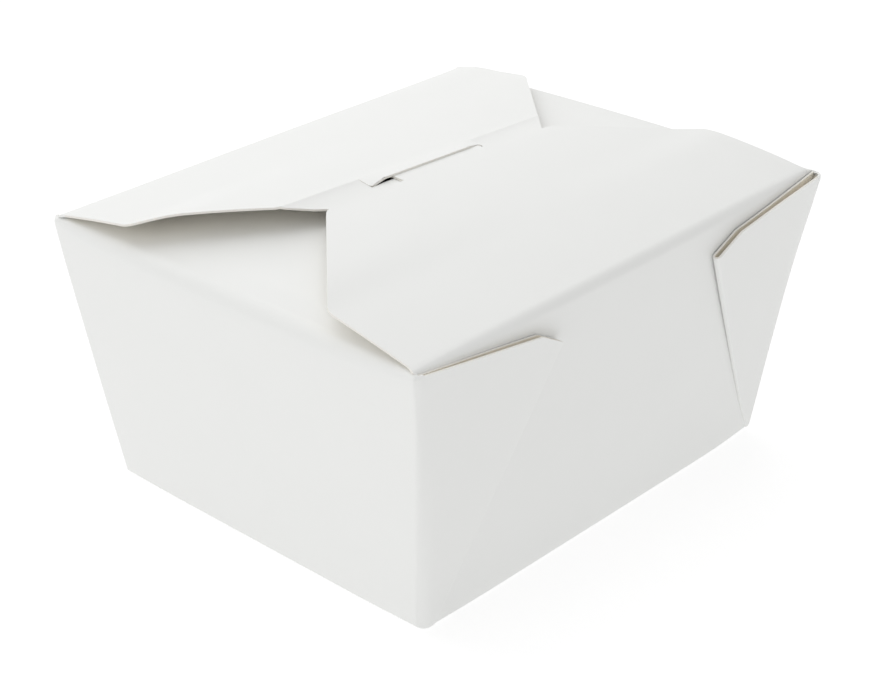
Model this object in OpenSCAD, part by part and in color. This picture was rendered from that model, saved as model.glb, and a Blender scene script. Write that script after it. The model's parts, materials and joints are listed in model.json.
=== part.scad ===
// Folded takeout box: one sheet of coated paperboard, with webbed corners and two lid flaps that lock together.
// The origin is under the middle of the base, +Z is up, +X runs along the long walls and the front lid is at -Y.

/* [Walls] */
// Length of the base
base_l = 111.5; // [90:0.5:140]
// Width of the base
base_w = 91.5; // [75:0.5:110]
// Length over the end walls at the rim
top_l = 127; // [110:0.5:150]
// Width over the corner webs at the rim
top_w = 106.5; // [95:0.5:125]
// Height of the lid creases on the long walls
wall_h = 63; // [45:0.5:90]
// Thickness of the paperboard
board = 0.46; // [0.35:0.01:0.7]
// Radius of the folds round the base
base_fold_r = 1.2; // [0.6:0.1:2]

/* [Corner webs] */
// Clear gap between the layers of a web at the corner
web_gap = 0.34; // [0.25:0.01:0.6]
// Clear gap between the layers of a web at its tip
tip_gap = 0.6; // [0.3:0.05:1.2]
// Distance from the corner to the web's tip, along the rim
tip_reach = 39; // [28:0.5:44]
// Depth of the tip below the lid crease
tip_drop = 9; // [6.5:0.5:14]
// Distance from the corner to the bend in the web's top edge
bend_reach = 32; // [20:0.5:34]
// Depth of that bend below the lid crease
bend_drop = 5.4; // [2.5:0.1:6]
// Depth of the web's top edge below the lid crease, at the corner
web_drop = 1.2; // [1.2:0.1:2]

/* [End flaps] */
// Depth of the end flaps' creases below the lid creases
end_drop = 0.9; // [0.6:0.1:1.6]
// Radius of the folds at the end flaps and the back lid
flap_fold_r = 1.6; // [0.8:0.1:2.4]
// Reach of an end flap from its crease
end_reach = 38; // [25:0.5:45]
// Angle by which an end flap dips below level
end_dip = 1.5; // [0.5:0.1:4]
// Inset of an end flap's side edge from the lid crease
end_inset = 3; // [2.5:0.1:6]
// Half width of an end flap's free edge
end_tip_half = 30; // [20:0.5:36]

/* [Lids] */
// Rise of the lids from crease to middle
ridge_rise = 6; // [4:0.1:9]
// Bow of a lid above the straight line from crease to middle
lid_bow = 1.24; // [0.6:0.02:2]
// Distance from the crease to the point where a lid's corner cut starts
lid_side = 22.5; // [14:0.5:30]
// Draw-in of a lid's side edge over that distance
lid_draw = 0.5; // [0:0.1:2]
// Half length of the front lid's free edge
front_edge_half = 34; // [26:0.5:40]
// Distance by which the front lid passes the middle of the box
front_lap = 0.5; // [0:0.1:1.2]
// Radius of the lids' cut corners
lid_corner_r = 4; // [1:0.5:6]
// Radius of the corners of both tabs
tab_corner_r = 1; // [0.4:0.1:1.2]

/* [Lock] */
// Distance of the back lid's crossways crease behind the middle
crease_back = 6.7; // [6:0.1:8]
// Angle by which the tuck strip dips below level
strip_dip = 12; // [11:0.5:16]
// Reach of the tuck strip from its crease
strip_reach = 15; // [10:0.5:18]
// Width of the cut tab on the back lid
cut_tab_w = 34.5; // [32:0.5:37]
// Sideways offset of the cut tab
cut_tab_x = -1.5; // [-2:0.1:0]
// Depth of the cut tab from its crease
cut_tab_d = 3.5; // [2.5:0.1:3.6]
// Angle by which the cut tab is lifted above the lid
cut_tab_lift = 8; // [6:0.5:12]
// Clear gap round the cut tab
cut_gap = 0.4; // [0.3:0.05:0.6]
// Width of the front lid's locking tab
lock_tab_w = 26.5; // [20:0.5:28]
// Sideways offset of the locking tab
lock_tab_x = 0.9; // [0:0.1:1.5]
// Length of the locking tab past the front lid's edge
lock_tab_d = 8.5; // [6:0.5:12]
// Angle by which the locking tab dips below level
lock_tab_dip = 9; // [8:0.5:11]
// Clear gap at the front lid's hinge line
hinge_gap = 0.3; // [0.2:0.05:0.5]

/* [Hidden] */

board_white = [0.93, 0.93, 0.92];
half_board = board / 2;
// Facets of a fold's round edge
edge_fn = 16;
// Facets of the small ball at a web's corners
ball_fn = 8;
// Straight steps in a fold
fold_steps = 6;
// Straight steps along a bowed lid
lid_steps = 6;
// More than any size of the box
far = 4 * (top_l + top_w + wall_h);

// Spacing of the layers of a web at the corner and at the tip
web_pitch = board + web_gap;
tip_pitch = board + tip_gap;
// Distance from the middle to a lid crease
half_span = top_w / 2 - half_board - 2 * web_pitch;
// Half length of a long wall at the rim, just inside the end walls
long_half = top_l / 2 - board - web_gap;

// Corners of the two wall sections: distance from the middle, then height
long_foot = [base_w / 2 - half_board, half_board];
long_rim = [half_span, wall_h];
end_foot = [base_l / 2 - half_board, half_board];
end_rim = [top_l / 2 - half_board, wall_h - end_drop];
end_tip = end_rim - end_reach * [cos(end_dip), sin(end_dip)];
// Height of the webs' top edge at the corners, and half width of an end flap
web_z = wall_h - web_drop;
flap_half = half_span - end_inset;

// Circle that carries a lid's bow, from its crease to the middle of the box
lid_chord = norm([half_span, ridge_rise]);
lid_r = lid_chord * lid_chord / (8 * lid_bow) + lid_bow / 2;
lid_start = atan2(ridge_rise, half_span) + asin(lid_chord / (2 * lid_r));
crease_v = half_span - crease_back;
front_v = half_span + front_lap;
// Start of the front lid, clear of the hinge line
root_v = board + hinge_gap;
// First point of the back lid after its fold
fold_v = 3 * flap_fold_r;
// Half lengths of a lid at its crease, just inside the webs, and where its corner cut starts
lid_half = long_half - web_gap;
side_half = lid_half - lid_draw;

function unit(v) = v / norm(v);
function slope(angle) = [-cos(angle), sin(angle)];

// Height and slope of a lid at a distance from its crease
function lid_z(v) = sqrt(pow(lid_r, 2) - pow(v - lid_r * sin(lid_start), 2)) - lid_r * cos(lid_start);
function lid_angle(v) = asin(sin(lid_start) - v / lid_r);
function lid_at(v) = long_rim + [-v, lid_z(v)];
function lid_path(from, to) = [for (i = [0 : lid_steps]) lid_at(from + (to - from) * i / lid_steps)];

// Points of a round fold of radius r at b, between the straight runs a to b and b to c
function fold(a, b, c, r) =
    let (u = unit(a - b), w = unit(c - b))
    let (half = acos(u * w) / 2, centre = b + unit(u + w) * r / sin(half))
    let (p = b + u * r / tan(half) - centre, q = b + w * r / tan(half) - centre)
    let (start = atan2(p.y, p.x), turn = atan2(p.x * q.y - p.y * q.x, p * q))
    [for (i = [0 : fold_steps]) centre + r * [cos(start + turn * i / fold_steps), sin(start + turn * i / fold_steps)]];

// Folds from the back wall into its lid and from an end wall into its flap
back_fold = fold(long_foot, long_rim, lid_at(fold_v), flap_fold_r);
end_fold = fold(end_foot, end_rim, end_tip, flap_fold_r);

// Sheet of the board's thickness along a path in section
module strip(path) {
    for (i = [1 : len(path) - 1])
        hull() {
            translate(path[i - 1]) circle(d = board, $fn = edge_fn);
            translate(path[i]) circle(d = board, $fn = edge_fn);
        }
}

// A section in Y and Z drawn out along X, and one in X and Z drawn out along Y
module along_x(length) {
    rotate([90, 0, 90]) linear_extrude(length, center = true) children();
}

module along_y(length) {
    rotate([90, 0, 0]) linear_extrude(length, center = true) children();
}

// Wall outline that widens from the foot to the rim, seen square on
module wall_outline(foot_half, rim_half, rim_z, top_z) {
    top_half = foot_half + (rim_half - foot_half) * top_z / rim_z;
    polygon([[-foot_half, 0], [foot_half, 0], [top_half, top_z], [-top_half, top_z]]);
}

// Half of the base with a long wall at +Y that ends at a point of its section
module long_wall(end) {
    middle = [0, half_board];
    intersection() {
        along_x(far) strip(concat([middle], fold(middle, long_foot, long_rim, base_fold_r), [end]));
        along_y(far) wall_outline(base_l / 2, long_half, wall_h, wall_h + board);
    }
}

// Lid outline seen from above, at +Y of its crease, with its corners cut and rounded
module lid_outline(edge_half, edge_v) {
    offset(r = lid_corner_r)
        offset(delta = -lid_corner_r)
            polygon([
                [-lid_half, -lid_side], [-lid_half, 0], [-side_half, lid_side], [-edge_half, edge_v],
                [edge_half, edge_v], [side_half, lid_side], [lid_half, 0], [lid_half, -lid_side],
            ]);
}

// Tab seen from above, with square corners at its root and round ones at its free edge
module tab_outline(width, root, depth) {
    translate([-width / 2, root]) square([width, depth - root - tab_corner_r]);
    hull()
        for (side = [-1, 1])
            translate([side * (width / 2 - tab_corner_r), depth - tab_corner_r]) circle(tab_corner_r, $fn = edge_fn);
}

// Moves a lid's plan from its crease at the X axis to the rim
module at_rim() {
    translate([0, -half_span, 0]) children();
}

// Back lid with its tuck strip, drawn as a front lid and turned round
module back_lid() {
    crease = lid_at(crease_v);
    chamfer = (side_half - front_edge_half) / (front_v - lid_side);
    end_v = crease_v + strip_reach;
    end_half = side_half - chamfer * (end_v - lid_side);
    strip_end = crease + strip_reach * slope(-strip_dip);
    tab_end = crease + cut_tab_d * slope(lid_angle(crease_v) + cut_tab_lift);
    rotate([0, 0, 180]) {
        difference() {
            intersection() {
                mirror([0, 1, 0]) along_x(far) strip(concat(back_fold, lid_path(fold_v, crease_v), [strip_end]));
                at_rim() linear_extrude(far) lid_outline(end_half, end_v);
            }
            at_rim()
                translate([-cut_tab_x, crease_v, 0])
                    linear_extrude(far)
                        tab_outline(cut_tab_w + 2 * cut_gap, half_board / 2, cut_tab_d + cut_gap);
        }
        intersection() {
            mirror([0, 1, 0]) along_x(far) strip([lid_at(crease_v - board), tab_end]);
            at_rim()
                translate([-cut_tab_x, crease_v, 0])
                    linear_extrude(far)
                        tab_outline(cut_tab_w, -2 * board, cut_tab_d);
        }
    }
}

// End wall at +X, as high as the webs at its corners and as the fold of its flap between them
module end_wall() {
    start = end_foot - [2 * base_fold_r, 0];
    fold_z = end_fold[0].y;
    top_z = max(web_z, fold_z);
    top = end_foot + (end_rim - end_foot) * (top_z - end_foot.y) / (end_rim.y - end_foot.y);
    intersection() {
        along_y(far) strip(concat([start], fold(start, end_foot, end_rim, base_fold_r), [top]));
        along_x(far)
            difference() {
                union() {
                    wall_outline(base_w / 2, top_w / 2 - half_board, web_z, web_z);
                    translate([-flap_half, web_z - board]) square([2 * flap_half, top_z - web_z + board]);
                }
                translate([-flap_half, fold_z]) square([2 * flap_half, wall_h]);
            }
    }
}

// End flap at +X, folded in under the lids
module end_flap() {
    side_x = end_rim.x - lid_side;
    intersection() {
        along_y(far) strip(concat(end_fold, [end_tip]));
        linear_extrude(far)
            polygon([
                [top_l, -flap_half], [side_x, -flap_half], [end_tip.x, -end_tip_half],
                [end_tip.x, end_tip_half], [side_x, flap_half], [top_l, flap_half],
            ]);
    }
}

// Point with a given X and Z on the flat leaf through three points
function on_leaf(foot, top, tip, x, z) =
    let (u = top - foot, w = tip - foot, dx = x - foot.x, dz = z - foot.z)
    let (size = u.x * w.z - w.x * u.z)
    foot + u * (dx * w.z - w.x * dz) / size + w * (u.x * dz - dx * u.z) / size;

// Thin leaf of board through a few corner points
module leaf(points) {
    hull()
        for (p = points)
            translate(p) sphere(d = board / cos(180 / ball_fn), $fn = ball_fn);
}

// Corner web at +X +Y: outer leaf from the end wall, diagonal fold, inner leaf, fold into the long wall
module corner_web() {
    foot = [end_foot.x, long_foot.x, board];
    lean = (half_span - long_foot.x) / (wall_h - half_board);
    wall_y = long_foot.x + lean * (web_z - half_board);
    inner_top = [long_half - half_board, wall_y + web_pitch, web_z];
    wall_top = inner_top - [0, web_pitch, 0];
    outer_top = [end_rim.x, top_w / 2 - half_board, web_z];
    tip_y = long_foot.x + lean * (wall_h - tip_drop - half_board);
    tip_x = top_l / 2 - tip_reach;
    inner_tip = [tip_x, tip_y + tip_pitch, wall_h - tip_drop];
    outer_tip = inner_tip + [0, tip_pitch, 0];
    bend_x = top_l / 2 - bend_reach;
    bend_z = wall_h - bend_drop;
    inner_bend = on_leaf(foot, inner_top, inner_tip, bend_x, bend_z);
    outer_bend = on_leaf(foot, outer_top, outer_tip, bend_x, bend_z);
    leaf([foot, inner_top, inner_bend, inner_tip]);
    leaf([foot, outer_top, outer_bend, outer_tip]);
    leaf([foot, inner_tip, outer_tip]);
    leaf([foot, inner_top, wall_top]);
}

module carton() {
    color(board_white) {
        mirror([0, 1, 0]) long_wall(long_rim);
        long_wall(back_fold[0]);
        back_lid();
        for (side = [0, 1])
            mirror([side, 0, 0]) {
                end_wall();
                end_flap();
                for (face = [0, 1])
                    mirror([0, face, 0]) corner_web();
            }
    }
}

module front_lid() {
    edge = lid_at(front_v);
    tab_end = edge + lock_tab_d * slope(-lock_tab_dip);
    color(board_white) {
        intersection() {
            mirror([0, 1, 0]) along_x(far) strip(lid_path(root_v, front_v));
            at_rim() linear_extrude(far) lid_outline(front_edge_half, front_v + half_board);
        }
        intersection() {
            mirror([0, 1, 0]) along_x(far) strip([lid_at(front_v - board), tab_end]);
            at_rim()
                translate([lock_tab_x, front_v, 0])
                    linear_extrude(far)
                        tab_outline(lock_tab_w, -2 * board, lock_tab_d);
        }
    }
}

carton();
front_lid();
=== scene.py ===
"""Folded takeout box: one sheet of white paperboard with webbed corners and two lid flaps that lock.

A thin sheet follows the sections of the walls, webs and flaps, settles a little as card does, and then
gets the board's thickness with a cream cut edge all round.
"""

import json
import math
from collections import namedtuple

import bmesh
import bpy
from bpy.props import FloatProperty, FloatVectorProperty, PointerProperty
from mathutils import Matrix, Quaternion, Vector


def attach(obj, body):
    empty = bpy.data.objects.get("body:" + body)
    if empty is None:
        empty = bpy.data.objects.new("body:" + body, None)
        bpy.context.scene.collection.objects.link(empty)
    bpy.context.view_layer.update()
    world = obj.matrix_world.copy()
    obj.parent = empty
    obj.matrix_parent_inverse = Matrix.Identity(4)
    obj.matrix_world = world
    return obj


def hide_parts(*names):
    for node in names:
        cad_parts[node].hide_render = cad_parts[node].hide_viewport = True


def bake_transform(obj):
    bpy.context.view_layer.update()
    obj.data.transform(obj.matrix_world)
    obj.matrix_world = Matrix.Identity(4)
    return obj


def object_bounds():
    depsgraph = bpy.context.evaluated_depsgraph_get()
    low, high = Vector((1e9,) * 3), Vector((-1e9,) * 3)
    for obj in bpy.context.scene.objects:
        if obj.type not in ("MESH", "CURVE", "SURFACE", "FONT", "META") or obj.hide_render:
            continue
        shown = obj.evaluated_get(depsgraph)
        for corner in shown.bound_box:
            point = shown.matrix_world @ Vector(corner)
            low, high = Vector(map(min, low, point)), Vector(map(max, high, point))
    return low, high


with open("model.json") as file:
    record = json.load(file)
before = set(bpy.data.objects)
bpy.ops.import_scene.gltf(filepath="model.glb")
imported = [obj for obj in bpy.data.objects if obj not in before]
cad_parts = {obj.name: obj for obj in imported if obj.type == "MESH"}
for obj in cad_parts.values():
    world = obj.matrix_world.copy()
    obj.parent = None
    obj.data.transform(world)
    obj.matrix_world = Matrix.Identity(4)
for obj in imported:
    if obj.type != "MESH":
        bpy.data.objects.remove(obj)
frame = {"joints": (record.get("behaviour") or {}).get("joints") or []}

bl_info = {
    "name": "Folded Takeout Box",
    "version": (1, 0, 0),
    "blender": (4, 5, 0),
    "location": "View3D > Sidebar > Takeout Box",
    "description": "Builds a folded paperboard takeout box with a hinged front lid",
    "category": "Object",
}

# From the frame: the solid model's box and the front lid's hinge
CAD_LOW, CAD_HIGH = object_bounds()
HINGE = Vector(frame["joints"][0]["pos_m"])

# How finely the sheet is drawn
FOLD_STEPS = 7
TURN_STEPS = 6
WALL_ROWS = 18
END_COLUMNS = 18
SIDE_COLUMNS = 12
TAB_COLUMNS = 10
LEAF_COLUMNS = 8
TIP_COLUMNS = 3
TAB_ROWS = 5
LID_STEP = 0.0025
FLAP_ROWS = 8
BEAD_STEPS = 4
WELD = 0.00001
SHARP_TURN = math.radians(38)

# Run of the long walls' plane that belongs to the lids, so that the seam is flat
SEAM = 0.0005

# Room round the rim's corners in which the coating covers the cut edges
CORNER_PRESS = 0.0025

# How a corner rounds into its web: share of the run, and share of the inset left there
CORNER_CURVE = ((0.33, 0.45), (0.66, 0.12), (1.0, 0.0))

# Powers that set how late a form fades towards a corner, an end or the foot
LID_FOLD_FADE = 4
FLAP_FOLD_FADE = 6
CORNER_FADE = 12
END_FADE = 4
SPRING_FADE = 3
CROWN_FADE = 6

# Shares of a corner's radius, a layer's spacing and a web's foot that keep rounds apart
CORNER_FIT = 0.9
LAYER_FIT = 0.45
FOOT_RUN = 0.75

# Half boards left free between an end flap and the lid over it
FLAP_ROOM = 3

# How much sooner the slit opens at its left end than at its right end
SLIT_RISE = 2.5

# Where a lid starts to tilt, sooner at the back's right, and over what run, as shares of its side
TILT_START = 0.9
TILT_START_RIGHT = 0.2
TILT_RUN = 0.45

# The board's surface: sizes of its features, their weights and the relief's height
CLOUD_SIZE = 0.014
RIPPLE_SIZE = 0.006
TOOTH_SIZE = 0.00045
CLOUD_SHARE = 0.55
RIPPLE_WEIGHT = 6
RELIEF = 0.00006

# Each finish: its lightest and deepest tint as shares of the colour, its roughness, grain and shine
Finish = namedtuple("Finish", "light deep rough grain shine")
FINISHES = {
    "face": Finish(light=1.012, deep=0.985, rough=0.5, grain=0.16, shine=0.4),
    "edge": Finish(light=1.10, deep=0.84, rough=0.85, grain=0.6, shine=0.2),
    "inside": Finish(light=1.02, deep=0.965, rough=0.6, grain=0.3, shine=0.35),
}

# The floor's half size and depth under the box, and how bright floor and sky look
FLOOR_HALF = 4
FLOOR_DROP = 0.0002
FLOOR_SEEN = 0.70
SKY_SEEN = 1.0


def length(name, about, default):
    """A setting in metres."""
    return FloatProperty(name=name, description=about, default=default, precision=5, unit="LENGTH")


def angle(name, about, degrees):
    """A setting in degrees."""
    return FloatProperty(name=name, description=about, default=math.radians(degrees), unit="ROTATION")


def colour(name, about, default):
    """A colour setting."""
    return FloatVectorProperty(
        name=name, description=about, default=default, size=3, subtype="COLOR", min=0, max=1
    )


def amount(name, about, default):
    """A setting without a unit."""
    return FloatProperty(name=name, description=about, default=default)


def position(name, about, default):
    """A place or a shift in metres."""
    return FloatVectorProperty(
        name=name, description=about, default=default, subtype="TRANSLATION", unit="LENGTH"
    )


def four_lengths(name, about, default):
    """A size for each corner: front left, front right, back left, back right."""
    return FloatVectorProperty(
        name=name, description=about, default=default, size=4, precision=5, unit="LENGTH"
    )


class BoardSettings(bpy.types.PropertyGroup):
    """The paperboard and its finish."""

    thickness: length("Thickness", "Thickness of the paperboard", 0.00046)
    face: colour("Face", "Coated outer face", (0.860, 0.865, 0.850))
    inside: colour("Inside", "Uncoated inner face", (0.95, 0.90, 0.80))
    edge: colour("Cut edge", "Bare core at the cut edges", (0.87, 0.85, 0.80))


class WallSettings(bpy.types.PropertyGroup):
    """The base and the four walls."""

    base_length: length("Base length", "Length of the base", 0.1107)
    base_width: length("Base width", "Width of the base", 0.0929)
    rim_length: length("Rim length", "Length over the end walls", CAD_HIGH.x - CAD_LOW.x)
    rim_width: length("Rim width", "Width over the corner webs", 0.1065)
    foot_radius: length("Foot radius", "Radius of the folds round the base", 0.0010)
    corner_top: length("Corner radius", "Radius of the upright corners at the rim", 0.0015)
    corner_foot: length("Corner foot radius", "Radius of the upright corners at the base", 0.0008)
    corner_inset: length("Corner inset", "Inset of the upright corners at the base", 0.0016)
    corner_run: length("Corner run", "Run of that inset's fade along the rim", 0.006)
    bow: length("Long wall bow", "Bow of a long wall in its middle", 0.0009)
    end_bow: length("End wall bow", "Bow of an end wall in its middle", 0.0004)
    end_lift: length("Right end lift", "Lift of the right end's rim in its middle", 0.0011)
    lean: position("Lean", "Shift of the base against the rim", (-0.0009, -0.0001, 0.0))
    foot_lift: four_lengths("Foot lift", "Lift of the base's corners", (0.0003, 0.0011, 0.0003, 0.0004))
    foot_spread: length("Foot spread", "Reach of that lift along the base", 0.010)
    rim_lift: four_lengths("Rim lift", "Lift of the rim's corners", (-0.0011, 0.0004, -0.0005, 0.0003))


class WebSettings(bpy.types.PropertyGroup):
    """The double-layer webs outside the long walls."""

    tip_reach: length("Tip reach", "Distance from corner to tip, along the rim", 0.0388)
    tip_drop: length("Tip drop", "Depth of the tip below the lid crease", 0.0082)
    bend_reach: length("Bend reach", "Distance from corner to bend of the top edge", 0.0318)
    bend_drop: length("Bend drop", "Depth of that bend below the lid crease", 0.0046)
    corner_drop: length("Corner drop", "Depth of the top edge at the corner", 0.0005)
    foot_reach: length("Foot reach", "Length of the web at the base corner", 0.0028)
    foot_inset: length("Foot inset", "Inset of the inner leaf at the base corner", 0.0019)
    foot_pitch: length("Foot pitch", "Spacing of the layers at the base corner", 0.00015)
    corner_pitch: length("Corner pitch", "Spacing of the layers at the rim corner", 0.00115)
    tip_pitch: length("Tip pitch", "Spacing of the two leaves at the tip", 0.0014)
    tip_gap: length("Tip gap", "Spacing of the inner leaf from the wall at the tip", 0.0007)
    flare: four_lengths("Flare", "Outward spring of the outer leaves", (-0.0006, 0.0011, 0.0, -0.0002))
    flare_run: length("Flare run", "Reach of that spring along the web", 0.016)
    stretch: four_lengths("Stretch", "Further reach of the webs' tips", (0.0040, -0.0048, 0.0, 0.0))
    clearance: length("Clearance", "Room between the inner fold and the end wall", 0.0001)


class FlapSettings(bpy.types.PropertyGroup):
    """The end flaps under the lids."""

    fold_radius: length("Fold radius", "Radius of the fold in its middle", 0.0030)
    fold_end: length("Fold end radius", "Radius of the fold at the corners", 0.0009)
    drop: length("Crease drop", "Depth of the crease below the lid creases", 0.0005)
    reach: length("Reach", "Reach of a flap from its crease", 0.038)
    crown: length("Crown", "Spring of a flap in the middle of its free edge", 0.0033)
    front_power: amount("Front spring", "How soon the front side springs up, as a power", 0.3)
    back_power: amount("Back spring", "The same on the back side", 0.75)
    inset: length("Inset", "Inset of the side edge from the lid crease", 0.003)
    taper: length("Taper", "Run of the side edge to that inset", 0.005)
    root: length("Root inset", "Inset of the side edge at the fold", 0.0003)
    tip_half: length("Tip half width", "Half width of the free edge", 0.030)
    side: length("Side", "Length of the straight side", 0.0225)


class LidSettings(bpy.types.PropertyGroup):
    """The two lid flaps and their lock."""

    fold_radius: length("Fold radius", "Radius of the fold in its middle", 0.0020)
    fold_end: length("Fold end radius", "Radius of the fold at the corners", 0.0006)
    rise: length("Rise", "Rise of the lids from crease to middle", 0.0059)
    front_tilt: length("Front tilt", "Fall of the front lid towards the right end", 0.0011)
    back_tilt: length("Back tilt", "Fall of the back lid towards the right end", 0.0021)
    right: amount("Right share", "A lid's right half as a share of its left half", 0.975)
    right_crease: amount("Right crease share", "The same share at the back lid's crease", 0.955)
    right_half: length("Front right half", "Right half length of the front lid at its crease", 0.0605)
    right_corner: length("Front right corner", "Right half length of the front lid at its cut", 0.0574)
    right_side: length("Front right side", "Distance from the crease to that corner cut", 0.0255)
    bow: length("Bow", "Bow of a lid above the straight line", 0.00124)
    root: length("Root reach", "Further half length of a lid in its fold", 0.00054)
    root_step: length("Root step", "Distance round the fold to that reach", 0.000125)
    half: length("Half length", "Half length of a lid at its crease", 0.06236)
    side: length("Side", "Distance from the crease to the corner cut", 0.0225)
    draw: length("Draw", "Draw-in of the side edge over that distance", 0.0005)
    edge_half: length("Front edge half", "Half length of the front lid's free edge", 0.0347)
    lap: length("Lap", "Reach of the front lid past the middle", -0.0004)
    corner_radius: length("Corner radius", "Radius of the cut corners", 0.004)
    crease_back: length("Crease back", "Distance of the back lid's crease behind the middle", 0.0067)
    bead: length("Crease bead", "Height of the bead along that crease", 0.00012)
    bead_width: length("Bead width", "Half width of the bead", 0.0006)
    strip_dip: angle("Strip dip", "Dip of the tuck strip at the lock", 4)
    strip_end: angle("Strip end dip", "Dip of the strip at its free ends", 6)
    strip_tuck: angle("Strip tuck", "Dip of the strip under the front lid", 4)
    strip_taper: amount("Strip taper", "Draw-in of the strip's left end along its reach", 1.3)
    right_taper: amount("Strip right taper", "The same at its right end", 0.95)
    strip_reach: length("Strip reach", "Reach of the tuck strip from its crease", 0.015)
    cut_width: length("Cut tab width", "Width of the back lid's cut tab", 0.0343)
    cut_offset: length("Cut tab offset", "Sideways offset of the cut tab", -0.00155)
    cut_depth: length("Cut tab depth", "Depth of the cut tab from its crease", 0.0040)
    cut_lift: angle("Cut tab lift", "Lift of the cut tab above level", 7.7)
    slit: length("Slit", "Width of the open slit below the cut tab", 0.0001)
    lock_width: length("Lock tab width", "Width of the front lid's locking tab", 0.0263)
    lock_offset: length("Lock tab offset", "Sideways offset of the locking tab", 0.00085)
    lock_depth: length("Lock tab length", "Length of the locking tab past the lid's edge", 0.0085)
    lock_dip: angle("Lock tab dip", "Dip of the locking tab past the slit", 12)
    tab_radius: length("Tab radius", "Radius of the corners of both tabs", 0.001)


class StageSettings(bpy.types.PropertyGroup):
    """Camera, lamps and floor."""

    camera_place: position("Camera place", "Where the camera stands", (-0.280215, -0.262567, 0.221901))
    camera_azimuth: angle("Azimuth", "Direction of the camera round the box", -46.638)
    camera_elevation: angle("Elevation", "Height of the camera above the horizon", 27.154)
    camera_roll: angle("Roll", "Turn of the camera about its view", -0.521)
    camera_lens: amount("Lens", "Focal length in millimetres", 79.83)
    floor: colour("Floor", "Colour of the floor", (0.40, 0.40, 0.40))
    floor_glow: amount("Floor glow", "Light that the floor gives by itself", 0.68)
    sky: amount("Sky", "Strength of the light from all round", 0.74)
    key: amount("Key", "Power of the lamp behind and above", 13.6)
    key_size: length("Key size", "Side of that lamp", 2.2)
    key_place: position("Key place", "Where that lamp hangs", (0.20, 0.80, 1.25))
    fill: amount("Fill", "Power of the lamp before the left end wall", 0.84)
    fill_size: length("Fill size", "Side of that lamp", 0.7)
    fill_place: position("Fill place", "Where that lamp hangs", (-0.80, 0.03, 0.50))


SETTINGS = {
    "takeout_board": BoardSettings,
    "takeout_walls": WallSettings,
    "takeout_webs": WebSettings,
    "takeout_flaps": FlapSettings,
    "takeout_lids": LidSettings,
    "takeout_stage": StageSettings,
}


def mix(first, second, share):
    """The value a share of the way from the first to the second."""
    return first + (second - first) * share


def spread(first, last, count):
    """Evenly spaced values from first to last."""
    return [mix(first, last, i / count) for i in range(count + 1)]


def ease(value):
    """A smooth step from 0 to 1."""
    value = min(1.0, max(0.0, value))
    return value * value * (3 - 2 * value)


def fold_arc(before, corner, after, radius, steps):
    """Points of a round fold at a corner between two straight runs."""
    back = (before - corner).normalized()
    ahead = (after - corner).normalized()
    half = back.angle(ahead) / 2
    centre = corner + (back + ahead).normalized() * (radius / math.sin(half))
    start = corner + back * (radius / math.tan(half)) - centre
    end = corner + ahead * (radius / math.tan(half)) - centre
    axis = start.cross(end).normalized()
    turn = start.angle(end)
    return [centre + Quaternion(axis, turn * i / steps) @ start for i in range(steps + 1)]


def rounded(points, radii, steps):
    """A path whose corners are round where they have a radius."""
    path = [points[0]]
    for before, corner, after, radius in zip(points, points[1:], points[2:], radii[1:]):
        path += fold_arc(before, corner, after, radius, steps) if radius else [corner]
    return path + [points[-1]]


def tab_span(offset, width):
    """The two side edges of a tab."""
    return offset - width / 2, offset + width / 2


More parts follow.
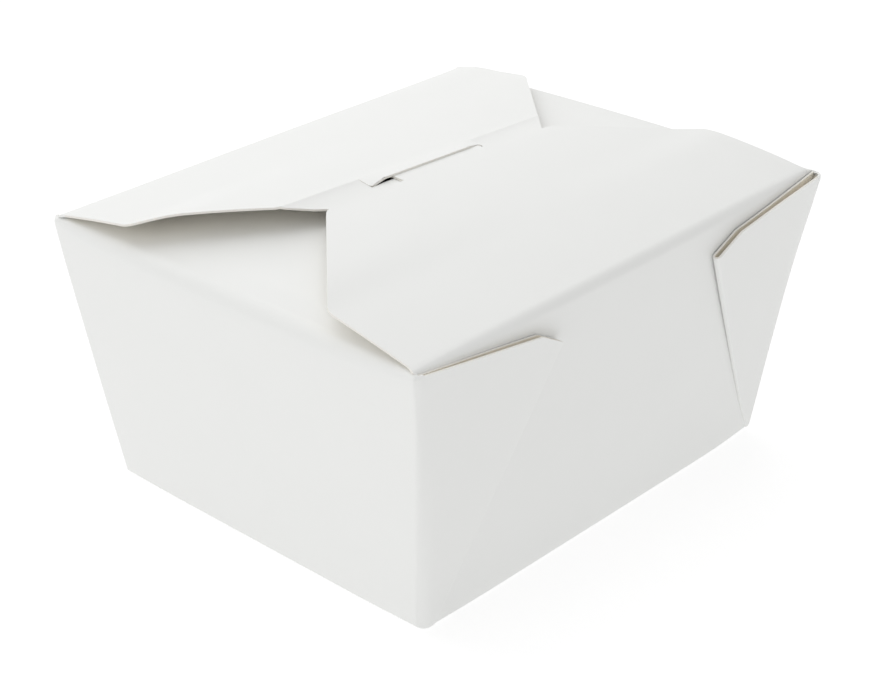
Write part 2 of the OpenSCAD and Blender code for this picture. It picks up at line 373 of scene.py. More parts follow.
class Blank:
    """The folded sheet's places, for the wall at +Y and the corner at +X +Y."""

    def __init__(self, scene):
        self.walls = scene.takeout_walls
        self.webs = scene.takeout_webs
        self.flaps = scene.takeout_flaps
        self.lids = scene.takeout_lids
        self.half_board = half = scene.takeout_board.thickness / 2
        self.cut_tab = tab_span(self.lids.cut_offset, self.lids.cut_width)
        self.lock_tab = tab_span(self.lids.lock_offset, self.lids.lock_width)
        self.crease = Vector((0, -HINGE.y, HINGE.z))
        self.long_foot = Vector((0, self.walls.base_width / 2 - half, half))
        self.end_foot = Vector((self.walls.base_length / 2 - half, 0, half))
        self.rim_x = self.walls.rim_length / 2 - half
        self.rim_y = self.walls.rim_width / 2 - half
        self.end_rim = Vector((self.rim_x, 0, self.crease.z - self.flaps.drop))
        self.end_tip = self.end_rim - Vector((self.flaps.reach, 0, 0))
        self.set_lid_circle()
        self.fold_v = self.crease.y - self.lid_fold(0)[-1].y
        self.set_foot()
        self.end_top_half = self.rim_y - self.walls.corner_top
        self.end_foot_half = self.base_corner.y - self.walls.corner_inset

    def set_lid_circle(self):
        """The circle that carries a lid's bow."""
        chord = math.hypot(self.crease.y, self.lids.rise)
        self.lid_r = chord * chord / (8 * self.lids.bow) + self.lids.bow / 2
        self.lid_start = math.atan2(self.lids.rise, self.crease.y) + math.asin(chord / (2 * self.lid_r))

    def set_foot(self):
        """The base corner and the first row of the walls, just above the folds round the base."""
        turn = math.pi / 2 - math.atan2(self.crease.y - self.long_foot.y, self.crease.z - self.long_foot.z)
        run = self.walls.foot_radius * math.tan(turn / 2)
        self.foot_z = self.half_board + run
        self.base_corner = Vector((self.end_foot.x - run, self.long_foot.y - run, self.half_board))
        self.foot_turns = [
            (math.sin(a) / math.sin(turn), self.half_board + run * (1 - math.cos(a)) / (1 - math.cos(turn)))
            for a in spread(0, turn, FOLD_STEPS)[:-1]
        ]

    def wall_y(self, z):
        """Distance of a long wall from the middle."""
        share = (z - self.long_foot.z) / (self.crease.z - self.long_foot.z)
        return mix(self.long_foot.y, self.crease.y, share)

    def end_x(self, z):
        """Distance of an end wall from the middle."""
        share = (z - self.end_foot.z) / (self.end_rim.z - self.end_foot.z)
        return mix(self.end_foot.x, self.end_rim.x, share)

    def lid_z(self, v):
        """Height of a lid over its crease."""
        across = v - self.lid_r * math.sin(self.lid_start)
        return math.sqrt(self.lid_r**2 - across**2) - self.lid_r * math.cos(self.lid_start)

    def lid_at(self, v):
        """Point of a lid's section at a distance from its crease."""
        return self.crease + Vector((0, -v, self.lid_z(v)))

    def lid_fold(self, x):
        """Points round the fold between a long wall and its lid, tighter towards the corners."""
        away = min(1.0, abs(x) / self.lids.half) ** LID_FOLD_FADE
        radius = mix(self.lids.fold_radius, self.lids.fold_end, away)
        return fold_arc(self.long_foot, self.crease, self.lid_at(3 * radius), radius, FOLD_STEPS)

    def flap_fold(self, y):
        """Points round the fold between an end wall and its flap, tighter in the same way."""
        away = min(1.0, abs(y) / self.end_top_half) ** FLAP_FOLD_FADE
        radius = mix(self.flaps.fold_radius, self.flaps.fold_end, away)
        return fold_arc(self.end_foot, self.end_rim, self.end_tip, radius, FOLD_STEPS)

    def corner_rings(self):
        """Rows round the rim corner at +X +Y, by which the end wall's fold runs out into the web."""
        fold = self.flap_fold(self.end_top_half)
        radius = self.walls.corner_top
        middle = Vector((fold[0].x - radius, self.end_top_half, fold[0].z))
        heights = spread(0, self.crease.z - self.webs.corner_drop - middle.z, FOLD_STEPS)
        rings = [[] for _ in fold]
        for turn in spread(0, math.pi / 2, TURN_STEPS + 1):
            out = Vector((math.cos(turn), math.sin(turn), 0))
            for ring, at, height in zip(rings, fold, heights):
                folded = middle + out * (at.x - middle.x) + Vector((0, 0, at.z - middle.z))
                upright = middle + out * radius + Vector((0, 0, height))
                ring.append(mix(upright, folded, math.cos(turn) ** 2))
        return rings

    def wall_end(self):
        """Height of a long wall's side edge, just below its lid's fold."""
        return self.lid_fold(self.lids.half)[0].z - SEAM

    def inner_x(self, z):
        """Reach of the fold that joins a long wall to its web, inside the end wall."""
        inset = self.webs.foot_inset * (self.crease.z - z) / (self.crease.z - self.foot_z)
        return self.end_x(z) - 2 * self.half_board - self.webs.clearance - inset

    def at_foot(self, point, share, z):
        """A point of the first wall row carried round the fold under the base."""
        flat = mix(self.base_corner, point, share)
        return Vector((flat.x, flat.y, z))


def columns(sides, tab):
    """Places along X from side edge to side edge, with the tab's edges among them."""
    left, right = sides
    shares = [math.sin(math.pi / 2 * share) for share in spread(0, 1, SIDE_COLUMNS)]
    left_side = [mix(tab[0], -left, share) for share in reversed(shares)]
    middle = spread(tab[0], tab[1], TAB_COLUMNS)
    right_side = [mix(tab[1], right, share) for share in shares]
    return left_side + middle[1:] + right_side[1:]


def gather(half):
    """Places across an end, closer together towards both side edges."""
    return [half * math.sin(math.pi / 2 * share) for share in spread(-1, 1, END_COLUMNS)]


def cross_row(sides, y, z, tab):
    """One straight row of the sheet across the box."""
    return [Vector((x, y, z)) for x in columns(sides, tab)]


def draw_sheet(bm, rows):
    """A grid through the given rows of points."""
    across, along = len(rows[0]) - 1, len(rows) - 1
    grid = bmesh.ops.create_grid(bm, x_segments=across, y_segments=along, size=1)
    points = [point for row in rows for point in row]
    for vert, point in zip(grid["verts"], points, strict=True):
        vert.co = point


def wall_side(blank, z):
    """Half length of a long wall at a height, inside the webs' inner folds."""
    return blank.inner_x(z) - blank.webs.foot_pitch


def long_wall_rows(blank, tab):
    """Rows of a long wall at +Y, from the base's edge to the start of the lid's fold."""
    foot = Vector((wall_side(blank, blank.foot_z), blank.wall_y(blank.foot_z), 0))
    rows = []
    for share, z in blank.foot_turns:
        turned = blank.at_foot(foot, share, z)
        rows.append(cross_row((turned.x, turned.x), turned.y, z, tab))
    for share in spread(0, 1, WALL_ROWS):
        half = wall_side(blank, mix(blank.foot_z, blank.wall_end(), share))
        row = []
        for x in columns((half, half), tab):
            z = mix(blank.foot_z, blank.lid_fold(x)[0].z - SEAM, share)
            row.append(Vector((x, blank.wall_y(z), z)))
        rows.append(row)
    return rows


def lid_outline(blank, half, corner, bends, end):
    """Half length of a lid against distance from its crease: side, cut, any bends and end."""
    lids = blank.lids
    start = blank.crease.y - blank.lid_fold(lids.half)[0].y
    points = [
        Vector((wall_side(blank, blank.wall_end()), start, 0)),
        Vector((half + lids.root, start + lids.root_step, 0)),
        Vector((half, lids.fold_radius, 0)),
        *(Vector((*point, 0)) for point in [corner, *bends, end]),
        Vector((0, end[1], 0)),
    ]
    radii = [0, 0, 0, lids.corner_radius, *(0 for _ in bends), lids.corner_radius, 0]
    return rounded(points, radii, TURN_STEPS)[:-1]


def half_at(outline, v):
    """Half length of an outline at a distance from the crease."""
    for first, second in zip(outline, outline[1:]):
        if first.y <= v <= second.y and second.y > first.y:
            return mix(first.x, second.x, (v - first.y) / (second.y - first.y))
    return outline[-1].x


def sides_at(outlines, v):
    """Half lengths of a lid's left and right sides at a distance from the crease."""
    return [half_at(outline, v) for outline in outlines]


def lid_stations(blank, outlines, marks):
    """Distances from the crease of a lid's rows: its outlines' points, the marks and some in between."""
    ends = {round(p.y, 7) for outline in outlines for p in outline if p.y > blank.fold_v}
    stops = sorted(ends | set(marks) | {blank.fold_v})
    stations = [stops[0]]
    for first, second in zip(stops, stops[1:]):
        count = max(1, math.ceil((second - first) / LID_STEP))
        stations += spread(first, second, count)[1:]
    return stations


def fold_rows(blank, outlines, tab):
    """Rows round the fold between a long wall and its lid, from the wall's last row."""
    wall = wall_side(blank, blank.wall_end())
    heights = [(x, blank.lid_fold(x)[0].z - SEAM) for x in columns((wall, wall), tab)]
    rows = [[Vector((x, blank.wall_y(z), z)) for x, z in heights]]
    for step in range(FOLD_STEPS):
        xs = columns(sides_at(outlines, blank.crease.y - blank.lid_fold(blank.lids.half)[step].y), tab)
        rows.append([Vector((x, *blank.lid_fold(x)[step].yz)) for x in xs])
    return rows


def tab_rows(blank, tab, root, depth, height_at):
    """Rows of a tab from its root line towards -Y, with round corners at its free edge."""
    middle = (tab[0] + tab[1]) / 2
    half = (tab[1] - tab[0]) / 2
    corner = [Vector((half, 0, 0)), Vector((half, depth, 0)), Vector((0, depth, 0))]
    outline = rounded(corner, [0, blank.lids.tab_radius, 0], TURN_STEPS)[:-1]
    sides = [Vector((half, out, 0)) for out in spread(0, outline[1].y, TAB_ROWS)[1:-1]]
    rows = []
    for point in outline[:1] + sides + outline[1:]:
        xs = spread(middle - point.x, middle + point.x, TAB_COLUMNS)
        rows.append([root + Vector((x, -point.y, height_at(x, point.y))) for x in xs])
    return rows


def lock_push(blank, x):
    """How fully the locking tab spreads the slit at a place, from 0 at the slit's ends to 1."""
    cut, lock = blank.cut_tab, blank.lock_tab
    return ease(SLIT_RISE * (x - cut[0]) / (lock[0] - cut[0])) * ease((cut[1] - x) / (cut[1] - lock[1]))


def strip_height(blank, x, past):
    """Height of the tuck strip past its crease. The locking tab presses it down beside the slit."""
    lids = blank.lids
    dip = mix(lids.strip_end, lids.strip_dip, lock_push(blank, x))
    near = min(past, lids.cut_depth)
    far = max(0.0, past - lids.crease_back + lids.lap)
    return -near * math.tan(dip) - far * math.tan(lids.strip_tuck)


def cut_height(blank, x, out):
    """Height of the cut tab, which the locking tab lifts between the slit's ends."""
    return out * math.tan(mix(-blank.lids.strip_end, blank.lids.cut_lift, lock_push(blank, x)))


def lock_height(blank, out):
    """Height of the locking tab, which dips once it is through the slit."""
    lids = blank.lids
    past = out + lids.lap - lids.crease_back + lids.cut_depth
    return -max(0.0, past) * math.tan(lids.lock_dip)


def draw_back_lid(bm, blank, tab):
    """The back lid with its crease, tuck strip, slit and cut tab."""
    lids = blank.lids
    crease_v = blank.crease.y - lids.crease_back
    end_v = crease_v + lids.strip_reach
    chamfer = (lids.half - lids.draw - lids.edge_half) / (blank.crease.y + lids.lap - lids.side)
    crease_half = lids.half - lids.draw - chamfer * (crease_v - lids.side)
    outlines = []
    left, right = (1, 1, lids.strip_taper), (lids.right, lids.right_crease, lids.right_taper)
    for share, crease_share, taper in (left, right):
        corner = (share * (lids.half - lids.draw), lids.side)
        bend = (crease_share * crease_half, crease_v)
        end = (bend[0] - taper * lids.strip_reach, end_v)
        outlines.append(lid_outline(blank, share * lids.half, corner, [bend], end))
    bead = [crease_v + share * lids.bead_width for share in spread(-1, 1, BEAD_STEPS)]
    window_v = crease_v + lids.cut_depth + lids.slit
    rows = fold_rows(blank, outlines, tab)
    for v in lid_stations(blank, outlines, [*bead, window_v]):
        point = blank.lid_at(min(v, crease_v))
        past = max(0.0, v - crease_v)
        away = abs(v - crease_v) / lids.bead_width
        point += Vector((0, -past, lids.bead * (1 - ease(away))))
        row = cross_row(sides_at(outlines, v), point.y, point.z, tab)
        rows.append([p + Vector((0, 0, strip_height(blank, p.x, past))) for p in row])
    draw_sheet(bm, rows)
    line_y, window_y = blank.crease.y - crease_v, blank.crease.y - window_v
    window = []
    for face in bm.faces:
        x, y, z = face.calc_center_median()
        if tab[0] < x < tab[1] and window_y < y < line_y and z > blank.crease.z:
            window.append(face)
    bmesh.ops.delete(bm, geom=window, context="FACES")
    root = blank.lid_at(crease_v) + Vector((0, 0, lids.bead))
    draw_sheet(bm, tab_rows(blank, tab, root, lids.cut_depth, lambda x, out: cut_height(blank, x, out)))


def draw_end(bm, blank):
    """The end wall at +X with its flap, from the base's edge to the flap's free edge."""
    start, top_half = blank.base_corner, blank.end_top_half
    foot_x = blank.end_x(blank.foot_z)
    rows = []
    for share, z in blank.foot_turns:
        half = mix(start.y, blank.end_foot_half, share)
        rows.append([Vector((mix(start.x, foot_x, share), y, z)) for y in gather(half)])
    folds = [blank.flap_fold(y) for y in gather(top_half)]
    for share in spread(0, 1, WALL_ROWS):
        heights = [mix(blank.foot_z, fold[0].z, share) for fold in folds]
        half = mix(blank.end_foot_half, top_half, share)
        rows.append([Vector((blank.end_x(z), y, z)) for y, z in zip(gather(half), heights)])
    for step in range(1, FOLD_STEPS + 1):
        rows.append([Vector((fold[step].x, y, fold[step].z)) for y, fold in zip(gather(top_half), folds)])
    draw_sheet(bm, rows + flap_rows(blank, folds))


def flap_rows(blank, folds):
    """Rows of an end flap from its fold to its free edge."""
    flaps = blank.flaps
    side_share = flaps.side / flaps.reach
    taper_share = flaps.taper / flaps.reach
    rows = []
    for share in [taper_share / 2] + spread(taper_share, 1, FLAP_ROWS):
        inset = mix(flaps.root, flaps.inset, min(1.0, share / taper_share))
        cut = max(0.0, share - side_share) / (1 - side_share)
        half = mix(blank.crease.y - inset, flaps.tip_half, cut)
        points = [mix(fold[-1], blank.end_tip, share) for fold in folds]
        row = []
        for y, point in zip(gather(half), points):
            power = mix(flaps.front_power, flaps.back_power, ease((1 + y / flaps.side) / 2))
            spring = flaps.crown * share**power * (1 - (y / blank.crease.y) ** CROWN_FADE)
            room = blank.lid_z(blank.crease.y - abs(y)) + flaps.drop - FLAP_ROOM * blank.half_board
            row.append(Vector((point.x, y, point.z + min(spring, room))))
        rows.append(row)
    return rows


def web_path(blank, share):
    """A path round the corner at +X +Y: end wall, corner, outer leaf, fold, inner leaf, fold, long wall."""
    webs, walls = blank.webs, blank.walls
    foot_z, wall_z = blank.foot_z, blank.wall_end()
    flap_z = blank.flap_fold(blank.end_top_half)[0].z
    web_z = blank.crease.z - webs.corner_drop
    tip_z, bend_z = blank.crease.z - webs.tip_drop, blank.crease.z - webs.bend_drop
    half_length = walls.rim_length / 2
    tip_x, bend_x = half_length - webs.tip_reach, half_length - webs.bend_reach
    foot_y, foot_x = blank.wall_y(foot_z), blank.end_x(foot_z)
    tip_y = blank.wall_y(tip_z) + webs.tip_gap
    inner_y = blank.rim_y - webs.corner_pitch
    wall_top_y = blank.wall_y(wall_z)
    foot_tip_x = foot_x - webs.foot_reach
    inner_foot, inner_top = blank.inner_x(foot_z), blank.inner_x(wall_z)
    foot_bend_x = (foot_tip_x + inner_foot) / 2
    corner_y = blank.end_foot_half + walls.corner_foot

    def between(foot, top):
        return mix(Vector((*foot, foot_z)), Vector(top), share)

    outer_y, middle_y = foot_y + 2 * webs.foot_pitch, foot_y + webs.foot_pitch
    corner_r = CORNER_FIT * mix(walls.corner_foot, walls.corner_top, share**CORNER_FADE)
    foot, corner = Vector((foot_x, outer_y, foot_z)), Vector((blank.end_x(web_z), blank.rim_y, web_z))
    tip = Vector((tip_x, tip_y + webs.tip_pitch, tip_z))
    bend_y = level_y(foot, corner, tip, bend_x, bend_z)
    points = [
        between((foot_x, blank.end_foot_half), (blank.end_x(flap_z), blank.end_top_half, flap_z)),
        between((foot_x, corner_y), corner),
        between((foot_bend_x, outer_y), (bend_x, bend_y, bend_z)),
        between((foot_tip_x, outer_y), tip),
        between((foot_tip_x, middle_y), (tip_x, tip_y, tip_z)),
        between((foot_bend_x, middle_y), (bend_x, bend_y - webs.tip_pitch, bend_z)),
        between((inner_foot, middle_y), (inner_top, inner_y, web_z)),
        between((inner_foot, foot_y), (inner_top, wall_top_y, wall_z)),
        between((wall_side(blank, foot_z), foot_y), (wall_side(blank, wall_z), wall_top_y, wall_z)),
    ]
    run = mix(FOOT_RUN * webs.foot_reach, walls.corner_run, share)
    inset = (outer_y - corner_y) * (1 - share)
    nominal = mix(foot, corner, share)
    curve = []
    for along, left in CORNER_CURVE:
        point = mix(nominal, points[2], along * run / (nominal.x - points[2].x))
        curve.append(point - Vector((0, inset * left, 0)))
    points[2:2] = curve
    fold_r = LAYER_FIT * mix(webs.foot_pitch, webs.tip_pitch, share)
    inner_r = LAYER_FIT * mix(webs.foot_pitch, inner_y - wall_top_y, share)
    radii = [0, corner_r, 0, 0, 0, 0, fold_r, fold_r, 0, inner_r, inner_r, 0]
    path = rounded(points, radii, TURN_STEPS)
    if share == 1:
        path[: TURN_STEPS + 2] = blank.corner_rings()[0]
    return fill_runs(path)


def level_y(first, second, third, x, z):
    """Distance from the middle at which the plane through three points has a place."""
    normal = (second - first).cross(third - first)
    return first.y - (normal.x * (x - first.x) + normal.z * (z - first.z)) / normal.y


def fill_runs(path):
    """The path with more points on its long straight runs."""
    turn, curve = TURN_STEPS + 1, len(CORNER_CURVE)
    outer, inner = turn + curve, 3 * turn + curve + 1
    runs = {outer: LEAF_COLUMNS, outer + 1: TIP_COLUMNS, inner: TIP_COLUMNS, inner + 1: LEAF_COLUMNS}
    filled = []
    for i, point in enumerate(path[:-1]):
        filled += spread(point, path[i + 1], runs.get(i, 1))[:-1]
    return filled + [path[-1]]


def draw_web(bm, blank):
    """The corner web at +X +Y, from the base corner to its top edge."""
    first = web_path(blank, 0)
    rows = [[blank.at_foot(point, share, z) for point in first] for share, z in blank.foot_turns]
    rows += [web_path(blank, share) for share in spread(0, 1, WALL_ROWS)]
    draw_sheet(bm, rows)
    beside = rows[-1][TURN_STEPS + 2]
    draw_sheet(bm, [[*ring, beside] for ring in blank.corner_rings()])


def mirror_all(bm, axis):
    """Adds the mirror image of everything drawn so far."""
    geom = bm.verts[:] + bm.edges[:] + bm.faces[:]
    bmesh.ops.mirror(bm, geom=geom, matrix=Matrix.Identity(4), merge_dist=WELD, axis=axis)


def settle(blank, point):
    """Where a point of the straight sheet comes to lie in the settled card."""
    walls = blank.walls
    x, y = abs(point.x), abs(point.y)
    up = ease(2 * point.z / blank.crease.z)
    along = max(0.0, 1 - (x / blank.rim_x) ** 2)
    across = max(0.0, 1 - (y / blank.rim_y) ** 2)
    out_y = walls.bow * along * up * min(1.0, y / blank.crease.y) ** 2
    at_end = min(1.0, x / blank.rim_x) ** END_FADE
    out_x = walls.end_bow * across * up * at_end
    away = math.hypot(x - blank.end_foot.x, y - blank.long_foot.y) / walls.foot_spread
    low = max(0.0, 1 - point.z / (2 * walls.foot_spread))
    lift = by_corner(walls.foot_lift, blank, point) * math.exp(-away * away) * low * low
    if point.x > 0:
        lift += walls.end_lift * across * at_end**2 * (point.z / blank.crease.z) ** 2
    spring = Vector((out_x, out_y, lift + lid_lift(blank, point))) + web_spring(blank, point)
    spring *= Vector((math.copysign(1, point.x), math.copysign(1, point.y), 1))
    return point + spring + walls.lean * max(0.0, 1 - point.z / blank.crease.z)


def web_spring(blank, point):
    """How a web's outer leaf springs out at the rim's corner and how much further the web reaches."""
    webs = blank.webs
    high = (point.z / blank.crease.z) ** SPRING_FADE
    clear = abs(point.y) - blank.wall_y(min(point.z, blank.crease.z)) - blank.half_board
    run = blank.rim_x - abs(point.x)
    flare = by_corner(webs.flare, blank, point) * ease(clear / webs.corner_pitch)
    flare *= math.exp(-((run / webs.flare_run) ** 2))
    away = ease(clear / blank.half_board) * ease(run / webs.bend_reach)
    return high * Vector((-by_corner(webs.stretch, blank, point) * away, flare, 0))


def lid_lift(blank, point):
    """Lift of a place by the uneven rim and the tilted lids."""
    lids = blank.lids
    risen = min(1.0, max(0.0, (point.z - blank.crease.z) / lids.rise))
    front_y, back_y = -lids.crease_back / 2, lids.crease_back
    back = ease((point.y - front_y) / (back_y - front_y))
    start = TILT_START_RIGHT if point.x > 0 and point.y > 0 else TILT_START
    past = ease((blank.crease.y - abs(point.y) - start * lids.side) / (TILT_RUN * lids.side))
    fall = mix(lids.front_tilt, lids.back_tilt, back) * risen * past * point.x / blank.rim_x
    lift = by_corner(blank.walls.rim_lift, blank, point) * min(1.0, point.z / blank.crease.z)
    return lift * (1 - risen**2) - fall


def by_corner(values, blank, point):
    """A value at a place of the rim, which goes evenly from corner to corner."""
    front_left, front_right, back_left, back_right = values
    right = (1 + point.x / blank.rim_x) / 2
    back = (1 + point.y / blank.rim_y) / 2
    return mix(mix(front_left, front_right, right), mix(back_left, back_right, right), back)


def add_object(context, name, data):
    """A new object in the scene."""
    made = bpy.data.objects.new(name, data)
    context.scene.collection.objects.link(made)
    return made


def to_mesh(name, bm):
    """A mesh of what was drawn."""
    mesh = bpy.data.meshes.new(name)
    bm.to_mesh(mesh)
    bm.free()
    return mesh


def make_piece(context, name, bm, blank, up_at):
    """A piece of board from a drawn sheet. The coated face looks up at the point up_at."""
    bmesh.ops.remove_doubles(bm, verts=bm.verts[:], dist=WELD)
    bmesh.ops.dissolve_degenerate(bm, edges=bm.edges[:], dist=WELD)
    bmesh.ops.recalc_face_normals(bm, faces=bm.faces[:])
    nearest = min(bm.faces, key=lambda face: (face.calc_center_median() - up_at).length)
    if nearest.normal.z < 0:
        bmesh.ops.reverse_faces(bm, faces=bm.faces[:])
    for vert in bm.verts:
        vert.co = settle(blank, vert.co)
    for face in bm.faces:
        face.smooth = True
    piece = add_object(context, name, to_mesh(name, bm))
    for material in board_materials(context.scene.takeout_board):
        piece.data.materials.append(material)
    solid = piece.modifiers.new("Board", "SOLIDIFY")
    solid.thickness = 2 * blank.half_board
    solid.offset = 0
    solid.use_even_offset = False
    solid.material_offset = 2
    solid.material_offset_rim = 1
    bake_modifiers(context, piece)
    return piece


def bake_modifiers(context, piece):
    """Makes the thick board the piece's own mesh and keeps its cut edges crisp."""
    graph = context.evaluated_depsgraph_get()
    thin = piece.data
    piece.data = bpy.data.meshes.new_from_object(piece.evaluated_get(graph))
    piece.modifiers.clear()
    bpy.data.meshes.remove(thin)
    piece.data.name = piece.name
    piece.data.set_sharp_from_angle(angle=SHARP_TURN)


def coat_corners(piece, blank):
    """Coats the cut edges at the rim's corners, where the face is pressed round them."""
    near = Vector((blank.rim_x, blank.end_top_half, blank.crease.z)) - Vector.Fill(3, CORNER_PRESS)
    for face in piece.data.polygons:
        place = face.center
        if abs(place.x) > near.x and abs(place.y) > near.y and place.z > near.z:
            face.material_index = 0


class Wire:
    """A shader socket that takes part in Python sums."""

    def __init__(self, tree, socket):
        self.tree = tree
        self.socket = socket

    def node(self, kind, settings, inputs, output=0):
        """Any node: its settings are set first, then the values or links of its sockets."""
        made = self.tree.nodes.new(kind)
        for name, value in settings.items():
            setattr(made, name, value)
        for name, value in inputs.items():
            if isinstance(value, Wire):
                self.tree.links.new(value.socket, made.inputs[name])
            else:
                made.inputs[name].default_value = value
        return Wire(self.tree, made.outputs[output] if made.outputs else None)

    def maths(self, operation, first, second):
        """One sum of two sockets or numbers."""
        return self.node("ShaderNodeMath", {"operation": operation}, {0: first, 1: second})

    def __add__(self, other):
        return self.maths("ADD", self, other)

    def __radd__(self, other):
        return self.maths("ADD", other, self)

    def __sub__(self, other):
        return self.maths("SUBTRACT", self, other)

    def __rsub__(self, other):
        return self.maths("SUBTRACT", other, self)

    def __mul__(self, other):
        return self.maths("MULTIPLY", self, other)

    def __rmul__(self, other):
        return self.maths("MULTIPLY", other, self)


def empty_tree(owner):
    """A wire that adds nodes to the emptied tree of a material or world."""
    owner.use_nodes = True
    owner.node_tree.nodes.clear()
    return Wire(owner.node_tree, None)


def noise(wire, coords, size, detail):
    """Soft noise with features of about a given size."""
    inputs = {"Vector": coords, "Scale": 1 / size, "Detail": detail}
    return wire.node("ShaderNodeTexNoise", {"noise_dimensions": "3D"}, inputs)


def paper(name, tint, finish):
    """Paperboard with a cloudy tint, a fine tooth and a varied roughness."""
    material = bpy.data.materials.new(name)
    wire = empty_tree(material)
    coords = wire.node("ShaderNodeTexCoord", {}, {}, "Object")
    cloud = noise(wire, coords, CLOUD_SIZE, 3)
    tooth = noise(wire, coords, TOOTH_SIZE, 4)
    ripple = noise(wire, coords, RIPPLE_SIZE, 2)
    share = CLOUD_SHARE * cloud + (1 - CLOUD_SHARE) * tooth
    tints = {"Factor": share, "A": (*(tint * finish.deep), 1), "B": (*(tint * finish.light), 1)}
    base = wire.node("ShaderNodeMix", {"data_type": "RGBA"}, tints, "Result")
    rough = finish.rough + finish.grain * (tooth - 0.5)
    bump = {"Strength": finish.grain, "Distance": RELIEF, "Height": tooth + RIPPLE_WEIGHT * ripple}
    relief = wire.node("ShaderNodeBump", {}, bump, "Normal")
    surface = {"Base Color": base, "Roughness": rough, "Normal": relief, "Specular IOR Level": finish.shine}
    shader = wire.node("ShaderNodeBsdfPrincipled", {}, surface, "BSDF")
    wire.node("ShaderNodeOutputMaterial", {}, {"Surface": shader})
    return material


def board_materials(board):
    """The coated face, the cut edge and the inner face, made once for both pieces."""
    materials = []
    for side, finish in FINISHES.items():
        name = f"board_{side}"
        made = bpy.data.materials.get(name)
        materials.append(made or paper(name, Vector(getattr(board, side)), finish))
    return materials


class TAKEOUT_OT_carton(bpy.types.Operator):
    """Fold the carton: base, walls, webs, end flaps and back lid"""

    bl_idname = "takeout.carton"
    bl_label = "Carton"

    def execute(self, context):
        blank = Blank(context.scene)
        tab, lock = blank.cut_tab, blank.lock_tab
        bm = bmesh.new()
        draw_web(bm, blank)
        mirror_all(bm, "Y")
        draw_end(bm, blank)
        mirror_all(bm, "X")
        back = long_wall_rows(blank, tab)
        front = [[Vector((p.x, -p.y, p.z)) for p in row] for row in reversed(long_wall_rows(blank, lock))]
        shares = [(1 + y) / 2 for y in gather(1)]
        base = [[mix(a, b, share) for a, b in zip(front[-1], back[0])] for share in shares[1:-1]]
        draw_sheet(bm, front + base + back)
        draw_back_lid(bm, blank, tab)
        piece = make_piece(context, "folded_carton", bm, blank, blank.lid_at(blank.lids.side))
        coat_corners(piece, blank)
        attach(piece, "box")
        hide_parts("carton")
        return {"FINISHED"}


class TAKEOUT_OT_front_lid(bpy.types.Operator):
    """Fold the front lid with its locking tab"""

    bl_idname = "takeout.front_lid"
    bl_label = "Front lid"

    def execute(self, context):
        blank = Blank(context.scene)
        lids, tab = blank.lids, blank.lock_tab
        edge_v = blank.crease.y + lids.lap
        corners = (lids.half - lids.draw, lids.side), (lids.right_corner, lids.right_side)
        outlines = [
            lid_outline(blank, lids.half, corners[0], [], (lids.edge_half, edge_v)),
            lid_outline(blank, lids.right_half, corners[1], [], (lids.right * lids.edge_half, edge_v)),
        ]
        rows = fold_rows(blank, outlines, tab)
        for v in lid_stations(blank, outlines, [edge_v]):
            point = blank.lid_at(v)
            rows.append(cross_row(sides_at(outlines, v), point.y, point.z, tab))
        bm = bmesh.new()
        draw_sheet(bm, rows)
        edge = blank.lid_at(edge_v)
        draw_sheet(bm, tab_rows(blank, tab, edge, lids.lock_depth, lambda x, out: lock_height(blank, out)))
        bmesh.ops.scale(bm, vec=(1, -1, 1), verts=bm.verts[:])
        top = blank.lid_at(lids.side)
        piece = make_piece(context, "front_lid_flap", bm, blank, Vector((0, -top.y, top.z)))
        root, end = blank.lid_fold(0)[0], blank.lid_fold(0)[-1]
        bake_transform(piece)
        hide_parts("front_lid")
        return {"FINISHED"}


def add_lamp(context, name, power, size, place, target):
    """A square soft lamp that looks at a point."""
    data = bpy.data.lights.new(name, "AREA")
    data.energy = power
    data.size = size
    lamp = add_object(context, name, data)
    lamp.location = place
    lamp.rotation_euler = (target - place).to_track_quat("-Z", "Y").to_euler()


def white_in_view(wire, lit, strength):
    """A shader that looks white to the camera, gloss and glass, and is as lit for other light."""
    path = wire.node("ShaderNodeLightPath", {}, {}, "Is Camera Ray")
    rays = path.socket.node.outputs
    seen = path + Wire(wire.tree, rays["Is Glossy Ray"]) + Wire(wire.tree, rays["Is Transmission Ray"])
    seen = wire.maths("MINIMUM", seen, 1.0)
    white = wire.node("ShaderNodeEmission", {}, {"Strength": strength})
    return wire.node("ShaderNodeMixShader", {}, {0: seen, 1: lit, 2: white})


def make_floor(context, stage):
    """A pale floor that takes the box's soft shadow and fades to white in view."""
    bm = bmesh.new()
    under = Matrix.Translation((0, 0, -FLOOR_DROP))
    bmesh.ops.create_grid(bm, x_segments=1, y_segments=1, size=FLOOR_HALF, matrix=under)
    floor = add_object(context, "floor", to_mesh("floor", bm))
    material = bpy.data.materials.new("floor_paint")
    wire = empty_tree(material)
    lit = wire.node("ShaderNodeBsdfDiffuse", {}, {"Color": (*stage.floor, 1)})
    glow = wire.node("ShaderNodeEmission", {}, {"Strength": stage.floor_glow})
    glow = white_in_view(wire, glow, FLOOR_SEEN)
    both = wire.node("ShaderNodeAddShader", {}, {0: lit, 1: glow})
    wire.node("ShaderNodeOutputMaterial", {}, {"Surface": both})
    floor.data.materials.append(material)


def make_sky(context, stage):
    """Even light from all round, white where the camera sees it."""
    world = bpy.data.worlds.new("studio")
    wire = empty_tree(world)
    lit = wire.node("ShaderNodeBackground", {}, {"Strength": stage.sky})
    seen = white_in_view(wire, lit, SKY_SEEN)
    wire.node("ShaderNodeOutputWorld", {}, {"Surface": seen})
    context.scene.world = world


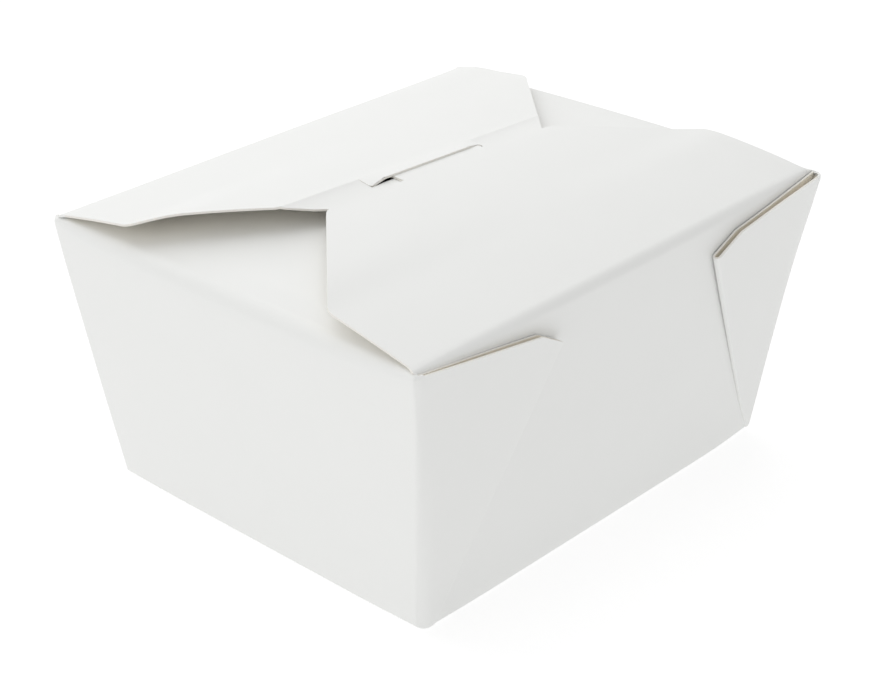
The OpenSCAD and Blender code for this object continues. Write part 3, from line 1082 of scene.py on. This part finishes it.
def make_camera(context, stage):
    """The camera at the photograph's viewing angle."""
    turn, rise = stage.camera_azimuth, stage.camera_elevation
    back = Vector((math.sin(turn) * math.cos(rise), -math.cos(turn) * math.cos(rise), math.sin(rise)))
    look = back.to_track_quat("Z", "Y") @ Quaternion((0, 0, 1), stage.camera_roll)
    data = bpy.data.cameras.new("camera")
    data.lens = stage.camera_lens
    camera = add_object(context, "camera", data)
    camera.location = stage.camera_place
    camera.rotation_euler = look.to_euler()
    context.scene.camera = camera


class TAKEOUT_OT_stage(bpy.types.Operator):
    """Set the floor, the lamps and the camera"""

    bl_idname = "takeout.stage"
    bl_label = "Stage"

    def execute(self, context):
        stage = context.scene.takeout_stage
        make_floor(context, stage)
        make_sky(context, stage)
        middle = (CAD_LOW + CAD_HIGH) / 2
        add_lamp(context, "key", stage.key, stage.key_size, stage.key_place, middle)
        add_lamp(context, "fill", stage.fill, stage.fill_size, stage.fill_place, middle)
        make_camera(context, stage)
        context.scene.view_settings.view_transform = "Standard"
        return {"FINISHED"}


class TAKEOUT_PT_panel(bpy.types.Panel):
    """Lists the box's pieces and sizes in the sidebar"""

    bl_idname = "TAKEOUT_PT_panel"
    bl_label = "Takeout Box"
    bl_space_type = "VIEW_3D"
    bl_region_type = "UI"
    bl_category = "Takeout Box"

    def draw(self, context):
        layout = self.layout
        for operator in OPERATORS:
            layout.operator(operator.bl_idname)
        for name, group in SETTINGS.items():
            box = layout.box()
            box.label(text=group.__doc__)
            for field in group.__annotations__:
                box.prop(getattr(context.scene, name), field)


OPERATORS = [TAKEOUT_OT_carton, TAKEOUT_OT_front_lid, TAKEOUT_OT_stage]
CLASSES = [*SETTINGS.values(), *OPERATORS, TAKEOUT_PT_panel]


def register():
    """Makes the settings, operators and panel known."""
    for cls in CLASSES:
        bpy.utils.register_class(cls)
    for name, group in SETTINGS.items():
        setattr(bpy.types.Scene, name, PointerProperty(type=group))


def unregister():
    """Takes them away again."""
    for name in SETTINGS:
        delattr(bpy.types.Scene, name)
    for cls in reversed(CLASSES):
        bpy.utils.unregister_class(cls)


def main():
    """Builds the box and its stage."""
    register()
    bpy.ops.takeout.carton()
    bpy.ops.takeout.front_lid()
    bpy.ops.takeout.stage()


if __name__ == "__main__":
    main()
